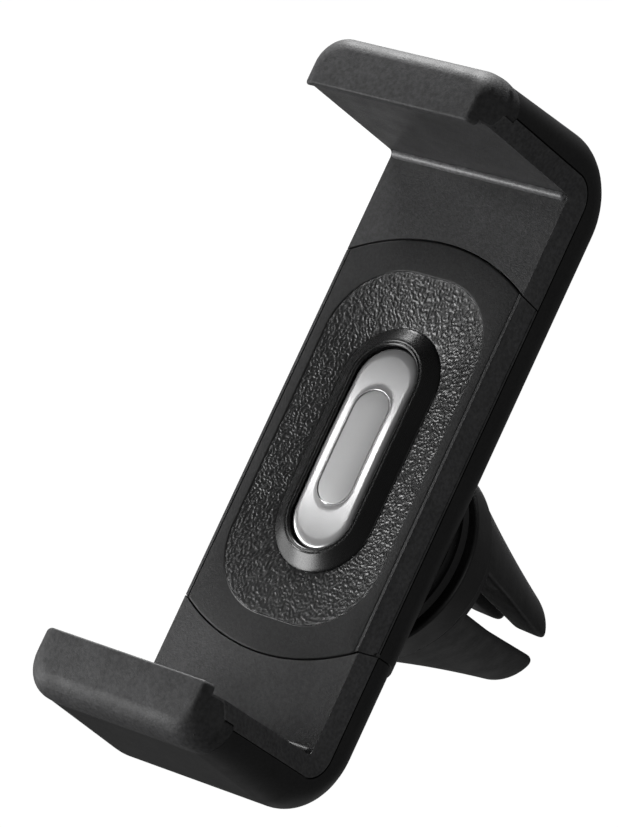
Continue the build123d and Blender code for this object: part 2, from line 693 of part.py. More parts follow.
# the crossed slots take the louvre either way round
across_x = Plane(origin=(0, 0, 0), x_dir=(0, 0, 1), z_dir=(-1, 0, 0))
with BuildPart() as slot_tool:
    for across in (Plane.XY, across_x):
        with BuildSketch(across):
            with BuildLine():
                Polyline(
                    (SLOT_ROOT_HALF, depth(FACE_TO_SLOT)),
                    (SLOT_WAIST_HALF, depth(SLOT_WAIST_DEPTH)),
                    (SLOT_GRIP_HALF, depth(SLOT_MOUTH_DEPTH)),
                    (SLOT_MOUTH_HALF, depth(PRONG_END + 0.5)),
                    (-SLOT_MOUTH_HALF, depth(PRONG_END + 0.5)),
                    (-SLOT_GRIP_HALF, depth(SLOT_MOUTH_DEPTH)),
                    (-SLOT_WAIST_HALF, depth(SLOT_WAIST_DEPTH)),
                    (-SLOT_ROOT_HALF, depth(FACE_TO_SLOT)),
                    close=True,
                )
            make_face()
        extrude(amount=2 * PRONG_ROOT_RADIUS, both=True)
with BuildPart() as vent_clip:
    with BuildSketch(Plane.XY):
        with BuildLine():
            Polyline(
                (PRONG_END_RADIUS, depth(PRONG_END)),
                (0, depth(PRONG_END)),
                (0, depth(CORE_FLANGE_BACK)),
                (COLLAR_BORE, depth(CORE_FLANGE_BACK)),
                (COLLAR_BORE, depth(COLLAR_BACK)),
                (PRONG_ROOT_RADIUS, depth(COLLAR_BACK)),
                close=True,
            )
        make_face()
    revolve(axis=Axis.Y)
    rim = vent_clip.faces().sort_by(Axis.Y)[-1].edges()
    fillet(rim, PRONG_END_ROUND)
    add(slot_tool.part, rotation=(0, CLIP_TURN, 0), mode=Mode.SUBTRACT)
    add(fingers.part, rotation=(0, CLIP_TURN, 0), mode=Mode.SUBTRACT)
parts["vent_clip"] = vent_clip.part


# ---- write one file per piece ----
os.makedirs("parts", exist_ok=True)
for name, piece in parts.items():
    piece.label = name
    export_step(piece, f"parts/{name}.step")
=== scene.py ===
import json
import math

import bmesh
import bpy
import numpy as np
from mathutils import Matrix, Vector, noise


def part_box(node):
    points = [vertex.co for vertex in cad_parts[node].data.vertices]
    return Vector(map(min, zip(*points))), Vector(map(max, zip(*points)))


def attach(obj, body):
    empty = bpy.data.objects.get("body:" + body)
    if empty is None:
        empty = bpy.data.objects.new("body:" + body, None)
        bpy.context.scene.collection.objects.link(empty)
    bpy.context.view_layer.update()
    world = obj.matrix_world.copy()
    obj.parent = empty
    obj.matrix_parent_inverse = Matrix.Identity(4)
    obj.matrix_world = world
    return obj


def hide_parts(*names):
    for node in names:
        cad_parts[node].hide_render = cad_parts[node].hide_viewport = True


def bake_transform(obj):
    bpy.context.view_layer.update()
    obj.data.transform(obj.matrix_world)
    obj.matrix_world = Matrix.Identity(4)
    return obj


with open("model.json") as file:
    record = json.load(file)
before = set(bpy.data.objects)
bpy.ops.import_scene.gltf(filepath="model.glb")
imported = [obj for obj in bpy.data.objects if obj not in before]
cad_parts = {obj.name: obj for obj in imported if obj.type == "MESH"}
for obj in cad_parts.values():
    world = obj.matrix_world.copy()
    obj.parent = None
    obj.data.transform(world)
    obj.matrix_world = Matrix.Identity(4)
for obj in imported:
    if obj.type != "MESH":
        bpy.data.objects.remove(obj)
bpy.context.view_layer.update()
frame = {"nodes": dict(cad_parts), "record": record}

MM = 0.001

# ---- places taken from the frame ----
# Reach is a distance in mm along X, from the body's centre towards a jaw.
# Depth is a distance in mm along Y, back from the front face.
PLATE_LO, PLATE_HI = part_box("face_plate")
CENTRE_X = (PLATE_LO.x + PLATE_HI.x) / 2
FACE_Y = PLATE_LO.y
FIXED, SLIDING = -1, 1


def measure(node):
    """Half length along X, half width along Z, front depth and back depth of a node, in mm."""
    low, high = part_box(node)
    return (high.x - low.x) / 2 / MM, high.z / MM, (low.y - FACE_Y) / MM, (high.y - FACE_Y) / MM


# ---- small mesh helpers ----
def add_object(name, verts, faces, smooth_angle=35):
    """New mesh object from metres, smooth shaded except at edges sharper than the angle."""
    mesh = bpy.data.meshes.new(name)
    mesh.from_pydata([tuple(v) for v in verts], [], [tuple(int(i) for i in f) for f in faces])
    mesh.validate()
    mesh.update()
    work = bmesh.new()
    work.from_mesh(mesh)
    bmesh.ops.recalc_face_normals(work, faces=work.faces)
    work.to_mesh(mesh)
    work.free()
    piece = bpy.data.objects.new(name, mesh)
    bpy.context.scene.collection.objects.link(piece)
    mesh.shade_smooth()
    mesh.set_sharp_from_angle(angle=math.radians(smooth_angle))
    return piece


def loft(rings, closed=False, ladder=False):
    """Vertices and faces of a skin over rings of equal length; the ends get flat faces unless it closes.

    With ladder the last end is rungs between mirrored points instead, for an end that is crowned.
    """
    count = len(rings[0])
    verts = np.concatenate(rings)
    spans = len(rings) if closed else len(rings) - 1
    faces = []
    for k in range(spans):
        low = k * count
        high = ((k + 1) % len(rings)) * count
        for i in range(count):
            j = (i + 1) % count
            faces.append((low + i, low + j, high + j, high + i))
    if not closed:
        faces.append(tuple(range(count - 1, -1, -1)))
        last = (len(rings) - 1) * count
        if ladder:
            pairs = range(count // 2 - 1)
            faces += [(last + k, last + k + 1, last + count - 2 - k, last + count - 1 - k) for k in pairs]
        else:
            faces.append(tuple(range(last, last + count)))
    return verts, faces


def cut(piece, cutter, operation="DIFFERENCE"):
    """Applies a boolean and removes the cutter."""
    change = piece.modifiers.new("cut", "BOOLEAN")
    change.object = cutter
    change.operation = operation
    change.solver = "EXACT"
    graph = bpy.context.evaluated_depsgraph_get()
    mesh = bpy.data.meshes.new_from_object(piece.evaluated_get(graph))
    piece.modifiers.clear()
    old = piece.data
    piece.data = mesh
    mesh.name = piece.name
    bpy.data.meshes.remove(old)
    bpy.data.objects.remove(cutter)
    return piece


def block(low, high):
    """Box between two corners, in metres, used only to cut with."""
    (x0, y0, z0), (x1, y1, z1) = low, high
    ring = [(x0, z0), (x1, z0), (x1, z1), (x0, z1)]
    rings = [np.array([(x, y, z) for x, z in ring]) for y in (y0, y1)]
    return add_object("cutter", *loft(rings))


def stadium(half_width, half_length, count):
    """Points round a long hole in X and Z about the origin, in mm, at even steps of its outline.

    They start half a step past its +X tip, so point k mirrors point count - 1 - k.
    """
    straight = half_length - half_width
    turn = math.pi * half_width
    total = 2 * turn + 4 * straight
    points = []
    for k in range(count):
        s = (total * (k + 0.5) / count + turn / 2) % total
        if s < turn:
            a = -math.pi / 2 + s / half_width
            points.append((straight + half_width * math.cos(a), half_width * math.sin(a)))
        elif s < turn + 2 * straight:
            points.append((straight - (s - turn), half_width))
        elif s < 2 * turn + 2 * straight:
            a = math.pi / 2 + (s - turn - 2 * straight) / half_width
            points.append((-straight + half_width * math.cos(a), half_width * math.sin(a)))
        else:
            points.append((-straight + (s - 2 * turn - 2 * straight), -half_width))
    return np.array(points)


def on_face(points, depth):
    """Places X and Z points in mm at a depth below the front face, in metres."""
    points = np.asarray(points, float)
    depth = np.broadcast_to(depth, len(points))
    return np.stack(
        [CENTRE_X + points[:, 0] * MM, FACE_Y + depth * MM, points[:, 1] * MM], axis=1
    )


def round_profile(points, radius, steps=5):
    """Polyline of (inset, depth) with its inner corners rounded."""
    points = [np.array(p, float) for p in points]
    out = [points[0]]
    for before, corner, after in zip(points, points[1:], points[2:]):
        a = before - corner
        b = after - corner
        size = min(radius, 0.45 * np.linalg.norm(a), 0.45 * np.linalg.norm(b))
        start = corner + a / np.linalg.norm(a) * size
        end = corner + b / np.linalg.norm(b) * size
        for k in range(steps + 1):
            t = k / steps
            out.append((1 - t) ** 2 * start + 2 * t * (1 - t) * corner + t**2 * end)
    out.append(points[-1])
    return out


# ---- materials ----
FLAT_TURN, EDGE_TURN = 0.99, 0.80  # cosine between the true and the bevelled normal
NOISE_SPAN = (0.3, 0.7)  # where most of a noise's values lie


class Shader:
    """Node tree of one material, with short calls for the nodes that all of them use."""

    def __init__(self, name):
        self.material = bpy.data.materials.new(name)
        self.material.use_nodes = True
        self.nodes = self.material.node_tree.nodes
        self.links = self.material.node_tree.links
        self.surface = self.nodes["Principled BSDF"]
        coords = self.nodes.new("ShaderNodeTexCoord")
        scale = self.nodes.new("ShaderNodeVectorMath")
        scale.operation = "SCALE"
        scale.inputs["Scale"].default_value = 1 / MM
        self.links.new(coords.outputs["Object"], scale.inputs[0])
        self.mm = scale.outputs[0]

    def put(self, value, socket):
        """Links a node's output to an input, or sets the input to a plain value."""
        if isinstance(value, bpy.types.NodeSocket):
            self.links.new(value, socket)
        else:
            socket.default_value = value

    def noise(self, size, detail=3.0, roughness=0.5, stretch=(1, 1, 1), distortion=0.0):
        """Noise whose features are about size millimetres wide."""
        spread = self.nodes.new("ShaderNodeVectorMath")
        spread.operation = "MULTIPLY"
        self.put(self.mm, spread.inputs[0])
        spread.inputs[1].default_value = tuple(s / size for s in stretch)
        node = self.nodes.new("ShaderNodeTexNoise")
        node.inputs["Scale"].default_value = 1.0
        node.inputs["Detail"].default_value = detail
        node.inputs["Roughness"].default_value = roughness
        node.inputs["Distortion"].default_value = distortion
        self.put(spread.outputs[0], node.inputs["Vector"])
        return node.outputs["Fac"]

    def math(self, operation, a, b=0.0):
        node = self.nodes.new("ShaderNodeMath")
        node.operation = operation
        self.put(a, node.inputs[0])
        self.put(b, node.inputs[1])
        return node.outputs[0]

    def span(self, value, low, high, to_low, to_high):
        """Maps one range onto another and clamps it."""
        node = self.nodes.new("ShaderNodeMapRange")
        self.put(value, node.inputs["Value"])
        ends = {"From Min": low, "From Max": high, "To Min": to_low, "To Max": to_high}
        for name, number in ends.items():
            self.put(number, node.inputs[name])
        return node.outputs["Result"]

    def mix(self, factor, a, b):
        """Blend of two colours."""
        node = self.nodes.new("ShaderNodeMix")
        node.data_type = "RGBA"
        self.put(factor, node.inputs["Factor"])
        for value, socket in ((a, node.inputs[6]), (b, node.inputs[7])):
            self.put(value if isinstance(value, bpy.types.NodeSocket) else (*value, 1.0), socket)
        return node.outputs[2]

    def edges(self, radius):
        """1 on edges and 0 on flat faces, from the bend of the normal within radius millimetres."""
        bevel = self.nodes.new("ShaderNodeBevel")
        bevel.samples = 4
        bevel.inputs["Radius"].default_value = radius * MM
        geometry = self.nodes.new("ShaderNodeNewGeometry")
        turn = self.nodes.new("ShaderNodeVectorMath")
        turn.operation = "DOT_PRODUCT"
        self.put(bevel.outputs["Normal"], turn.inputs[0])
        self.put(geometry.outputs["Normal"], turn.inputs[1])
        return self.span(turn.outputs["Value"], FLAT_TURN, EDGE_TURN, 0.0, 1.0)

    def spread(self, value, to_low, to_high):
        """Maps the usual range of a noise onto another."""
        return self.span(value, *NOISE_SPAN, to_low, to_high)

    def grey(self, shade, blue):
        """Grey of a varying shade, with its blue lifted a little."""
        colour = self.nodes.new("ShaderNodeCombineColor")
        for channel, lift in (("Red", 1.0), ("Green", 1.0), ("Blue", blue)):
            self.put(self.math("MULTIPLY", shade, lift), colour.inputs[channel])
        return colour.outputs[0]

    def set(self, **values):
        """Links or sets the surface's inputs, named with underscores for spaces."""
        for name, value in values.items():
            self.put(value, self.surface.inputs[name.replace("_", " ")])

    def bump(self, *layers):
        """Bump from (height, millimetres) layers, the first one lowest."""
        normal = None
        for height, distance in layers:
            node = self.nodes.new("ShaderNodeBump")
            node.inputs["Strength"].default_value = 1.0
            node.inputs["Distance"].default_value = distance * MM
            self.put(height, node.inputs["Height"])
            if normal is not None:
                self.put(normal, node.inputs["Normal"])
            normal = node.outputs["Normal"]
        self.put(normal, self.surface.inputs["Normal"])


def grey(value):
    """Plain grey, very slightly cool."""
    return (value, value, value * 1.01)


def moulded(name, tone, rough, grain, grain_height, wear_and_highlight=0.5, specular=0.5, cloud=0.18):
    """Moulded black plastic or rubber: spark-eroded grain, faint flow clouds, and edges and creases
    lightened partly as wear and partly as a painted highlight.
    """
    shader = Shader(name)
    clouds = shader.noise(5.0, 4.0, 0.6)
    speckle = shader.noise(grain * 1.6, 2.0)
    shade = shader.spread(clouds, tone * (1 - cloud), tone * (1 + cloud))
    shade = shader.math("MULTIPLY", shade, shader.spread(speckle, 0.65, 1.4))
    # edges and creases painted lighter: partly wear, partly a painted highlight
    edge = shader.math("MULTIPLY", shader.edges(0.3), shader.span(clouds, 0.35, 0.65, 0.3, 1.0))
    worn_and_lit_edges = shader.mix(shader.math("MULTIPLY", edge, wear_and_highlight), shader.grey(shade, 1.03), grey(tone * 2.2))
    mottle = shader.spread(shader.noise(2.2, 3.0), rough - 0.05, rough + 0.06)
    polish = shader.math("MULTIPLY", edge, 0.08)
    shader.set(
        Base_Color=worn_and_lit_edges,
        Roughness=shader.math("SUBTRACT", mottle, polish),
        Specular_IOR_Level=specular,
    )
    shader.bump((shader.noise(3.5, 2.0), 0.004), (shader.noise(grain, 3.0, 0.6), grain_height))
    return shader.material


def gloss(name, tone, rough):
    """Polished black plastic with hair scratches and a trace of orange peel."""
    shader = Shader(name)
    dust = shader.span(shader.noise(0.12, 2.0), 0.62, 0.75, 0.0, 1.0)
    haze = shader.noise(4.0, 4.0, 0.6)
    base = shader.mix(shader.spread(haze, 0.0, 1.0), grey(tone * 0.8), grey(tone * 1.3))
    scratch = shader.noise(0.06, 2.0, 0.5, (0.06, 1, 1))
    shader.set(
        Base_Color=shader.mix(shader.math("MULTIPLY", dust, 0.12), base, grey(tone * 5)),
        Roughness=shader.span(scratch, 0.45, 0.75, rough, rough + 0.05),
    )
    shader.bump((shader.noise(1.6, 2.0), 0.003), (scratch, 0.0003))
    return shader.material


def satin_metal(name, tone, rough):
    """Satin anodised aluminium: a fine blasted finish with a slow drift in its sheen."""
    shader = Shader(name)
    blast = shader.noise(0.09, 3.0, 0.6)
    cloud = shader.noise(5.0, 3.0)
    drift = shader.spread(cloud, -0.01, 0.01)
    shade = shader.math("ADD", shader.spread(blast, tone * 0.98, tone * 1.02), drift)
    shader.set(
        Base_Color=shader.grey(shade, 1.006),
        Metallic=0.72,
        Roughness=shader.spread(cloud, rough - 0.02, rough + 0.02),
    )
    shader.bump((blast, 0.0012))
    return shader.material


def leather(name, tone, rough):
    """Embossed leather grain with fine pores: lighter, glossier ridges over dark valleys, the ridges
    lightened partly as wear and partly as a painted highlight.
    """
    shader = Shader(name)
    geometry = shader.nodes.new("ShaderNodeNewGeometry")
    crest = shader.span(geometry.outputs["Pointiness"], 0.47, 0.55, 0.0, 1.0)
    pores = shader.spread(shader.noise(0.11, 2.0), 0.0, 1.0)
    patch = shader.span(shader.noise(3.0, 3.0), 0.35, 0.65, 0.6, 1.0)
    # crests painted lighter: partly wear, partly a painted highlight
    rubbed_and_lit_crests = shader.math("MULTIPLY", crest, patch)
    dark = shader.mix(pores, grey(tone * 0.45), grey(tone * 0.9))
    shader.set(
        Base_Color=shader.mix(rubbed_and_lit_crests, dark, grey(tone * 2.5)),
        Roughness=shader.span(rubbed_and_lit_crests, 0.0, 1.0, rough + 0.10, rough),
        Specular_IOR_Level=0.9,
    )
    shader.bump((shader.noise(0.12, 2.0), 0.003))
    return shader.material


def plated_steel(name, tone, rough):
    """Zinc-plated or drawn steel with a mottled sheen and turning marks."""
    shader = Shader(name)
    mottle = shader.noise(0.5, 4.0, 0.6)
    shader.set(
        Base_Color=shader.mix(shader.spread(mottle, 0.0, 1.0), grey(tone * 0.8), grey(tone * 1.1)),
        Metallic=1.0,
        Roughness=shader.spread(mottle, rough - 0.06, rough + 0.1),
    )
    shader.bump((shader.noise(0.12, 3.0), 0.004))
    return shader.material


# moulded: tone, roughness, grain width in mm, grain height in mm
MATERIALS = {
    "shell_plastic": moulded("shell_plastic", 0.011, 0.42, 0.18, 0.006, wear_and_highlight=0.5, specular=0.45),
    "grained_plastic": moulded("grained_plastic", 0.026, 0.46, 0.22, 0.036, wear_and_highlight=0.5, specular=0.5),
    # lighter copy of the grained plastic for faces along Z: painted light on the sides
    "side_grain_painted_light": moulded("side_grain_painted_light", 0.060, 0.50, 0.22, 0.030, wear_and_highlight=0.3, specular=0.5),
    "face_grain": moulded("face_grain", 0.011, 0.52, 0.20, 0.026, wear_and_highlight=0.6, specular=0.38),
    # much lighter copy of the grain for the fixed jaw's crease bead: a painted highlight along the crease
    "bead_painted_highlight": moulded("bead_painted_highlight", 0.10, 0.40, 0.20, 0.012, wear_and_highlight=0.2, specular=0.6),
    "soft_touch": moulded("soft_touch", 0.036, 0.60, 0.24, 0.034, wear_and_highlight=0.35, specular=0.45),
    "leather_grain": leather("leather_grain", 0.009, 0.24),
    "gloss_black": gloss("gloss_black", 0.006, 0.26),
    "satin_silver": satin_metal("satin_silver", 0.46, 0.22),
    "satin_grey": satin_metal("satin_grey", 0.46, 0.42),
    "clip_rubber": moulded("clip_rubber", 0.020, 0.55, 0.22, 0.012, wear_and_highlight=0.3, specular=0.4),
    "black_acetal": moulded("black_acetal", 0.018, 0.38, 0.3, 0.002, wear_and_highlight=0.4),
    "zinc_steel": plated_steel("zinc_steel", 0.36, 0.34),
    "spring_steel": plated_steel("spring_steel", 0.55, 0.25),
}


def finish_piece(piece, body, slot, *nodes, finish=None):
    """Gives a piece its material and body, and hides the CAD nodes that it stands for."""
    piece.data.materials.clear()
    piece.data.materials.append(MATERIALS[finish or slot])
    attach(piece, body)
    if nodes:
        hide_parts(*nodes)


# ---- soft caps of the jaws ----
WALL_ARC = (1.85, 2.9)  # outer band of a cap: width and height
FACET = (2.1, 3.0)  # side of a jaw's tip, from the flat front: width and height
NEAR_BULGE, FAR_BULGE = 0.12, 0.85  # 0 is a flat facet and 1 a full round
FRONT_ROUND = 0.28
CAP_CORNER = {NEAR_BULGE: (2.0, 3.1), FAR_BULGE: (2.7, 3.2)}  # corner at the front and at the back
CORNER_DROP = 2.4  # the corner grows over this much height
NEAR_CORNER = 0.45
FACET_SOFTNESS, FLARE_SOFTNESS = 0.16, 0.06
LIP_EASE = 0.8
KNEE, FLARE = 2.65, 0.9  # from the lip to where the flared side ends, and how far it flares
EAR_SINK = 0.02
LINER_STEP = 1.60  # from the liner's face to the back of its tip
LINER_DROP = 0.9
EAR, EAR_DROP = 0.25, 2.7
LIP_STAND = 0.47  # from the lip to the ear, which is level with the liner
SIDE_PROUD = 0.13  # how far the plain cap stands out from the shell
CORE_NEAR, CORE_FAR, CORE_HALF, CORE_DROP = 2.6, 4.5, 10.05, 1.35
FRONT_DROPS = (0.0, 0.02, 0.06, 0.12, 0.2, 0.3, 0.45, 0.65, LINER_DROP)
EAR_DROPS = (LINER_DROP, 1.2, 1.5, 1.8, 2.1, 2.4, EAR_DROP)
BACK_DROPS = (EAR_DROP, 3.0, 3.4)


def soft_min(a, b, width):
    """The smaller of two numbers, blended where they are about as large."""
    return 0.5 * (a + b - math.sqrt((a - b) ** 2 + width**2))


def front_edge(drop):
    """Inset of the small rounding between the flat front and the sides."""
    left = max(0.0, 1 - drop / FRONT_ROUND)
    return FRONT_ROUND * (1 - math.sqrt(max(0.0, 1 - left**2)))


def arc_inset(drop, width, height):
    """Inset of an arc that runs down into a wall."""
    radius = (width**2 + height**2) / (2 * width)
    return radius - math.sqrt(radius**2 - max(0.0, height - drop) ** 2)


def facet(drop, bulge):
    """Inset of a jaw's side at a drop below the front."""
    width, height = FACET
    flat = -soft_min(0.0, -width * (1 - drop / height), FACET_SOFTNESS)
    return (1 - bulge) * flat + bulge * arc_inset(drop, width, height)


def cap_side(near, knee, half, drop, wall, bulge, ear):
    """Points (reach, half width) from the lip, along the flared side and round the corner.

    Behind the lip an ear of the cap, only as thick as EAR, still wraps the side of the liner's tip.
    """
    outer = wall - arc_inset(drop, *WALL_ARC) - front_edge(drop)
    side = half - facet(drop, bulge) - front_edge(drop)
    lip = near + front_edge(drop) * LIP_EASE
    at_front, at_back = CAP_CORNER[bulge]
    corner = at_front + (at_back - at_front) * min(1.0, drop / CORNER_DROP)

    def flare(reach):
        wide = half - FLARE * max(0.0, (knee - reach) / KNEE)
        return soft_min(wide, side, FLARE_SOFTNESS) - (EAR_SINK if ear else 0.0)

    corner_z = flare(lip + NEAR_CORNER) - NEAR_CORNER
    points = [(lip, 0.4 * half), (lip, corner_z - 0.3), (lip, corner_z - 0.1)]
    if ear:
        inside = lip + LINER_STEP
        points = [(inside, 0.4 * half), (inside, corner_z - EAR), (lip + 0.1, corner_z - EAR)]
    for a in np.linspace(0, math.pi / 2, 6):
        points.append((lip + NEAR_CORNER * (1 - math.cos(a)), corner_z + NEAR_CORNER * math.sin(a)))
    start = lip + NEAR_CORNER
    stop = outer - corner
    for t in (0.15, 0.3, 0.45, 0.6, 0.75, 0.88):
        reach = start + (stop - start) * t
        points.append((reach, flare(reach)))
    for a in np.linspace(0, math.pi / 2, 13):
        points.append((stop + corner * math.sin(a), side - corner * (1 - math.cos(a))))
    return points, points[0][0], outer


def cap_ring(near, knee, half, drop, wall, ear=False):
    """Closed outline of a cap at one drop; the two sides differ only in how round they are."""
    right, lip, outer = cap_side(near, knee, half, drop, wall, NEAR_BULGE, ear)
    left, _, _ = cap_side(near, knee, half, drop, wall, FAR_BULGE, ear)
    return [(lip, 0.0), *right, (outer, 0.0), *[(r, -z) for r, z in reversed(left)]]


def jaw_cap(name, node, side, body, proud, extra_lip):
    """Soft cap: flat front with a crease round it, a convex outer band and faceted sides, hollow behind."""
    low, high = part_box(node)
    tip = (FACE_Y - low.y) / MM
    start = (FACE_Y - high.y) / MM
    near, far = sorted(side * (value - CENTRE_X) / MM for value in (low.x, high.x))
    half = high.z / MM - SIDE_PROUD
    inner = near - extra_lip
    knee = near + KNEE

    def wall_at(drop):
        return far + proud - (proud + SIDE_PROUD) * drop / (tip - start)

    rings = [(cap_ring(inner, knee, half, d, wall_at(d)), d) for d in FRONT_DROPS]
    for d in EAR_DROPS:
        rings.append((cap_ring(near + LIP_STAND, knee, half, d, wall_at(d), ear=True), d))
    for d in (*BACK_DROPS, tip - start):
        rings.append((cap_ring(near + LIP_STAND + LINER_STEP, knee, half, d, wall_at(d)), d))
    outline = rings[-1][0]
    hollow = [
        (min(max(r, near + CORE_NEAR), near + CORE_FAR), min(max(z, -CORE_HALF), CORE_HALF))
        for r, z in outline
    ]
    rings += [(hollow, tip - start), (hollow, CORE_DROP)]
    placed = [
        np.array([(CENTRE_X + side * r * MM, FACE_Y - (tip - d) * MM, z * MM) for r, z in ring])
        for ring, d in rings
    ]
    piece = add_object(name, *loft(placed), smooth_angle=42)
    finish_piece(piece, body, "soft_touch", node)


# ---- liners and frame: copies of the CAD's, with their seams and edges refined ----
def mesh_copy(name, node):
    """A copy of a CAD node's mesh to refine; the node itself is left as it is."""
    piece = bpy.data.objects.new(name, frame["nodes"][node].data.copy())
    bpy.context.scene.collection.objects.link(piece)
    return piece


def prism_z(outline, z0, z1):
    """Cutter: an outline of (x, y) in metres, drawn out along Z between two places in mm."""
    rings = [np.array([(x, y, z) for x, y in outline]) for z in (z0 * MM, z1 * MM)]
    return add_object("cutter", *loft(rings))


SEAM_DEPTH = 2.2  # where the side strip meets the shell
SEAM_GROOVE, SEAM_OVERCUT = 0.17, 0.02
GROOVE_HALVES = (11.3, 12.5)  # inside and outside of a side face
JAW_SPAN, FRAME_SPAN = (17.0, 40.0), (-30.0, 22.0)  # reaches that a groove runs between
GROOVE_TIP = -13.0
BEND_CENTRE = (28.4, -0.6)  # reach and depth of the bend's axis
JAW_TIP = 16.6
REFINED_ANGLE = 14  # edges sharper than this stay sharp on a refined copy


def seam_cutter(side, reaches, sign):
    """Thin L-shaped cutter that opens a groove between the side strip and the shell."""
    outline = []
    for offset, order in ((SEAM_DEPTH - SEAM_GROOVE, 1), (SEAM_DEPTH + SEAM_OVERCUT, -1)):
        radius = offset - BEND_CENTRE[1]
        line = [(reaches[0], offset)]
        if reaches[1] > BEND_CENTRE[0]:
            line += [
                (BEND_CENTRE[0] + radius * math.sin(a), BEND_CENTRE[1] + radius * math.cos(a))
                for a in np.linspace(0, math.pi / 2, 17)
            ]
            line.append((BEND_CENTRE[0] + radius, GROOVE_TIP))
        else:
            line.append((reaches[1], offset))
        outline += line[::order]
    placed = [(CENTRE_X + side * r * MM, FACE_Y + d * MM) for r, d in outline]
    return prism_z(placed, *sorted(sign * z for z in GROOVE_HALVES))


BEAD_RADIUS = 0.47
BEAD_HALF = 10.9
BEAD_CENTRE = (28.82, -0.10)  # reach and depth, on the inside of the bend


def crease_bead(name, node, side, body, finish):
    """Round bead with domed ends that runs along the inside of a jaw's bend."""
    rings = []
    dome = [
        (BEAD_RADIUS * (1 - math.cos(a)) - BEAD_HALF, BEAD_RADIUS * math.sin(a))
        for a in np.linspace(0.06, math.pi / 2, 8)
    ]
    for z, radius in [*dome, *[(-z, radius) for z, radius in reversed(dome)]]:
        ring = []
        for a in np.linspace(0, 2 * math.pi, 20, endpoint=False):
            reach = BEAD_CENTRE[0] + radius * math.cos(a)
            depth = BEAD_CENTRE[1] + radius * math.sin(a)
            ring.append((CENTRE_X + side * reach * MM, FACE_Y + depth * MM, z * MM))
        rings.append(np.array(ring))
    piece = add_object(name, *loft(rings))
    finish_piece(piece, body, "grained_plastic", node, finish=finish)


WEDGE_REACHES = (24.0, 40.0)
WEDGE_PAST = 0.6  # how far the wedge runs past both ends of the facet
WEDGE_SINK = 0.15  # how far the liner's tip lies under the cap's facet
WEDGE_OUTSIDE = 1.5


def tip_wedge(side, sign):
    """Cutter that takes one side of a liner's tip back under the cap's facet."""
    width, height = FACET
    half = measure("fixed_jaw_cap")[1]
    slope = width / height
    corner = [
        (-JAW_TIP - WEDGE_PAST, half - width - slope * WEDGE_PAST - WEDGE_SINK),
        (-JAW_TIP + height + WEDGE_PAST, half + slope * WEDGE_PAST - WEDGE_SINK),
        (-JAW_TIP - WEDGE_PAST, half + WEDGE_OUTSIDE),
    ]
    rings = [
        np.array([(CENTRE_X + side * reach * MM, FACE_Y + d * MM, sign * z * MM) for d, z in corner])
        for reach in WEDGE_REACHES
    ]
    return add_object("cutter", *loft(rings))


def finish_refined(piece, body, node):
    """Shades a refined copy and gives its flat sides a duller grain, painted lighter as light on the sides.
    """
    piece.data.shade_smooth()
    piece.data.set_sharp_from_angle(angle=math.radians(REFINED_ANGLE))
    finish_piece(piece, body, "grained_plastic", node)
    piece.data.materials.append(MATERIALS["side_grain_painted_light"])
    for face in piece.data.polygons:
        # faces turned along Z take the lighter copy: painted light on the sides
        if abs(face.normal.z) > 0.7:
            face.material_index = 1


def jaw_liner(name, node, side, body):
    """The liner with its tip cut back under the cap and a fine groove along its side seams."""
    piece = mesh_copy(name, node)
    for sign in (-1, 1):
        cut(piece, tip_wedge(side, sign))
        cut(piece, seam_cutter(side, JAW_SPAN, sign))
    finish_refined(piece, body, node)


LIP_RADII = (21.3, 21.5)  # from inside the frame's curved end to just short of the sliding liner
LIP_DEPTHS = (1.5, 2.05)
LIP_REACH = (8.6, 11.85)


def seam_lip(sign):
    """Thin lip on the frame's curved end, which keeps light from showing through the seam."""
    rings = []
    for z in np.linspace(*LIP_REACH, 10):
        inner, outer = (math.sqrt(radius**2 - z**2) for radius in LIP_RADII)
        near, far = LIP_DEPTHS
        corners = [(inner, near), (outer, near), (outer, far), (inner, far)]
        rings.append(np.array([(CENTRE_X + x * MM, FACE_Y + d * MM, sign * z * MM) for x, d in corners]))
    return add_object("lip", *loft(rings))


def front_frame():
    """The frame with fine side grooves and its far edge brought level with the face plate."""
    piece = mesh_copy("front_frame_refined", "front_frame")
    far_edge = (CENTRE_X - 0.02, FACE_Y - 0.001, -0.0125), (CENTRE_X + 0.0212, FACE_Y, -0.0105)
    cut(piece, block(*far_edge))
    for sign in (-1, 1):
        cut(piece, seam_cutter(SLIDING, FRAME_SPAN, sign))
        cut(piece, seam_lip(sign), "UNION")
    finish_refined(piece, "holder", "front_frame")


# ---- textured inlay: a shallow dish with a leather grain in relief ----
GRAIN_STEP = 0.078
WARP, WARP_REACH = 1.3, 0.35  # width and size of the drift that bends the ridges
WORM = 0.36  # spacing of the grain's ridges
WORM_WIDTH = 0.24
KNOT = 0.26  # size of the lumps that break the ridges up
WORM_HEIGHT = 0.055
GRAIN_SEED = 1  # the warp is offset by the clock unless it is seeded
RING_WIDTH = 4.6
RIM_DEPTH = 0.10
DISH_DEPTH = 0.84
INLAY_HALF = 9.35
INLAY_ROUND = 7.4


def outline(inside, directions):
    """Where rays (spine, direction) leave a closed shape, in mm."""
    points = []
    for spine, (dx, dz) in directions:
        low, high = 0.0, 40.0
        for _ in range(30):
            middle = (low + high) / 2
            within = inside(spine + dx * middle, dz * middle)
            low, high = (middle, high) if within else (low, middle)
        points.append((spine + dx * low, dz * low))
    return np.array(points)


def inlay_inside(x, z, half_length):
    """Whether a point lies in the inlay's rounded rectangle."""
    ax = abs(x) - (half_length - INLAY_ROUND)
    az = abs(z) - (INLAY_HALF - INLAY_ROUND)
    return math.hypot(max(ax, 0), max(az, 0)) + min(max(ax, az), 0) < INLAY_ROUND


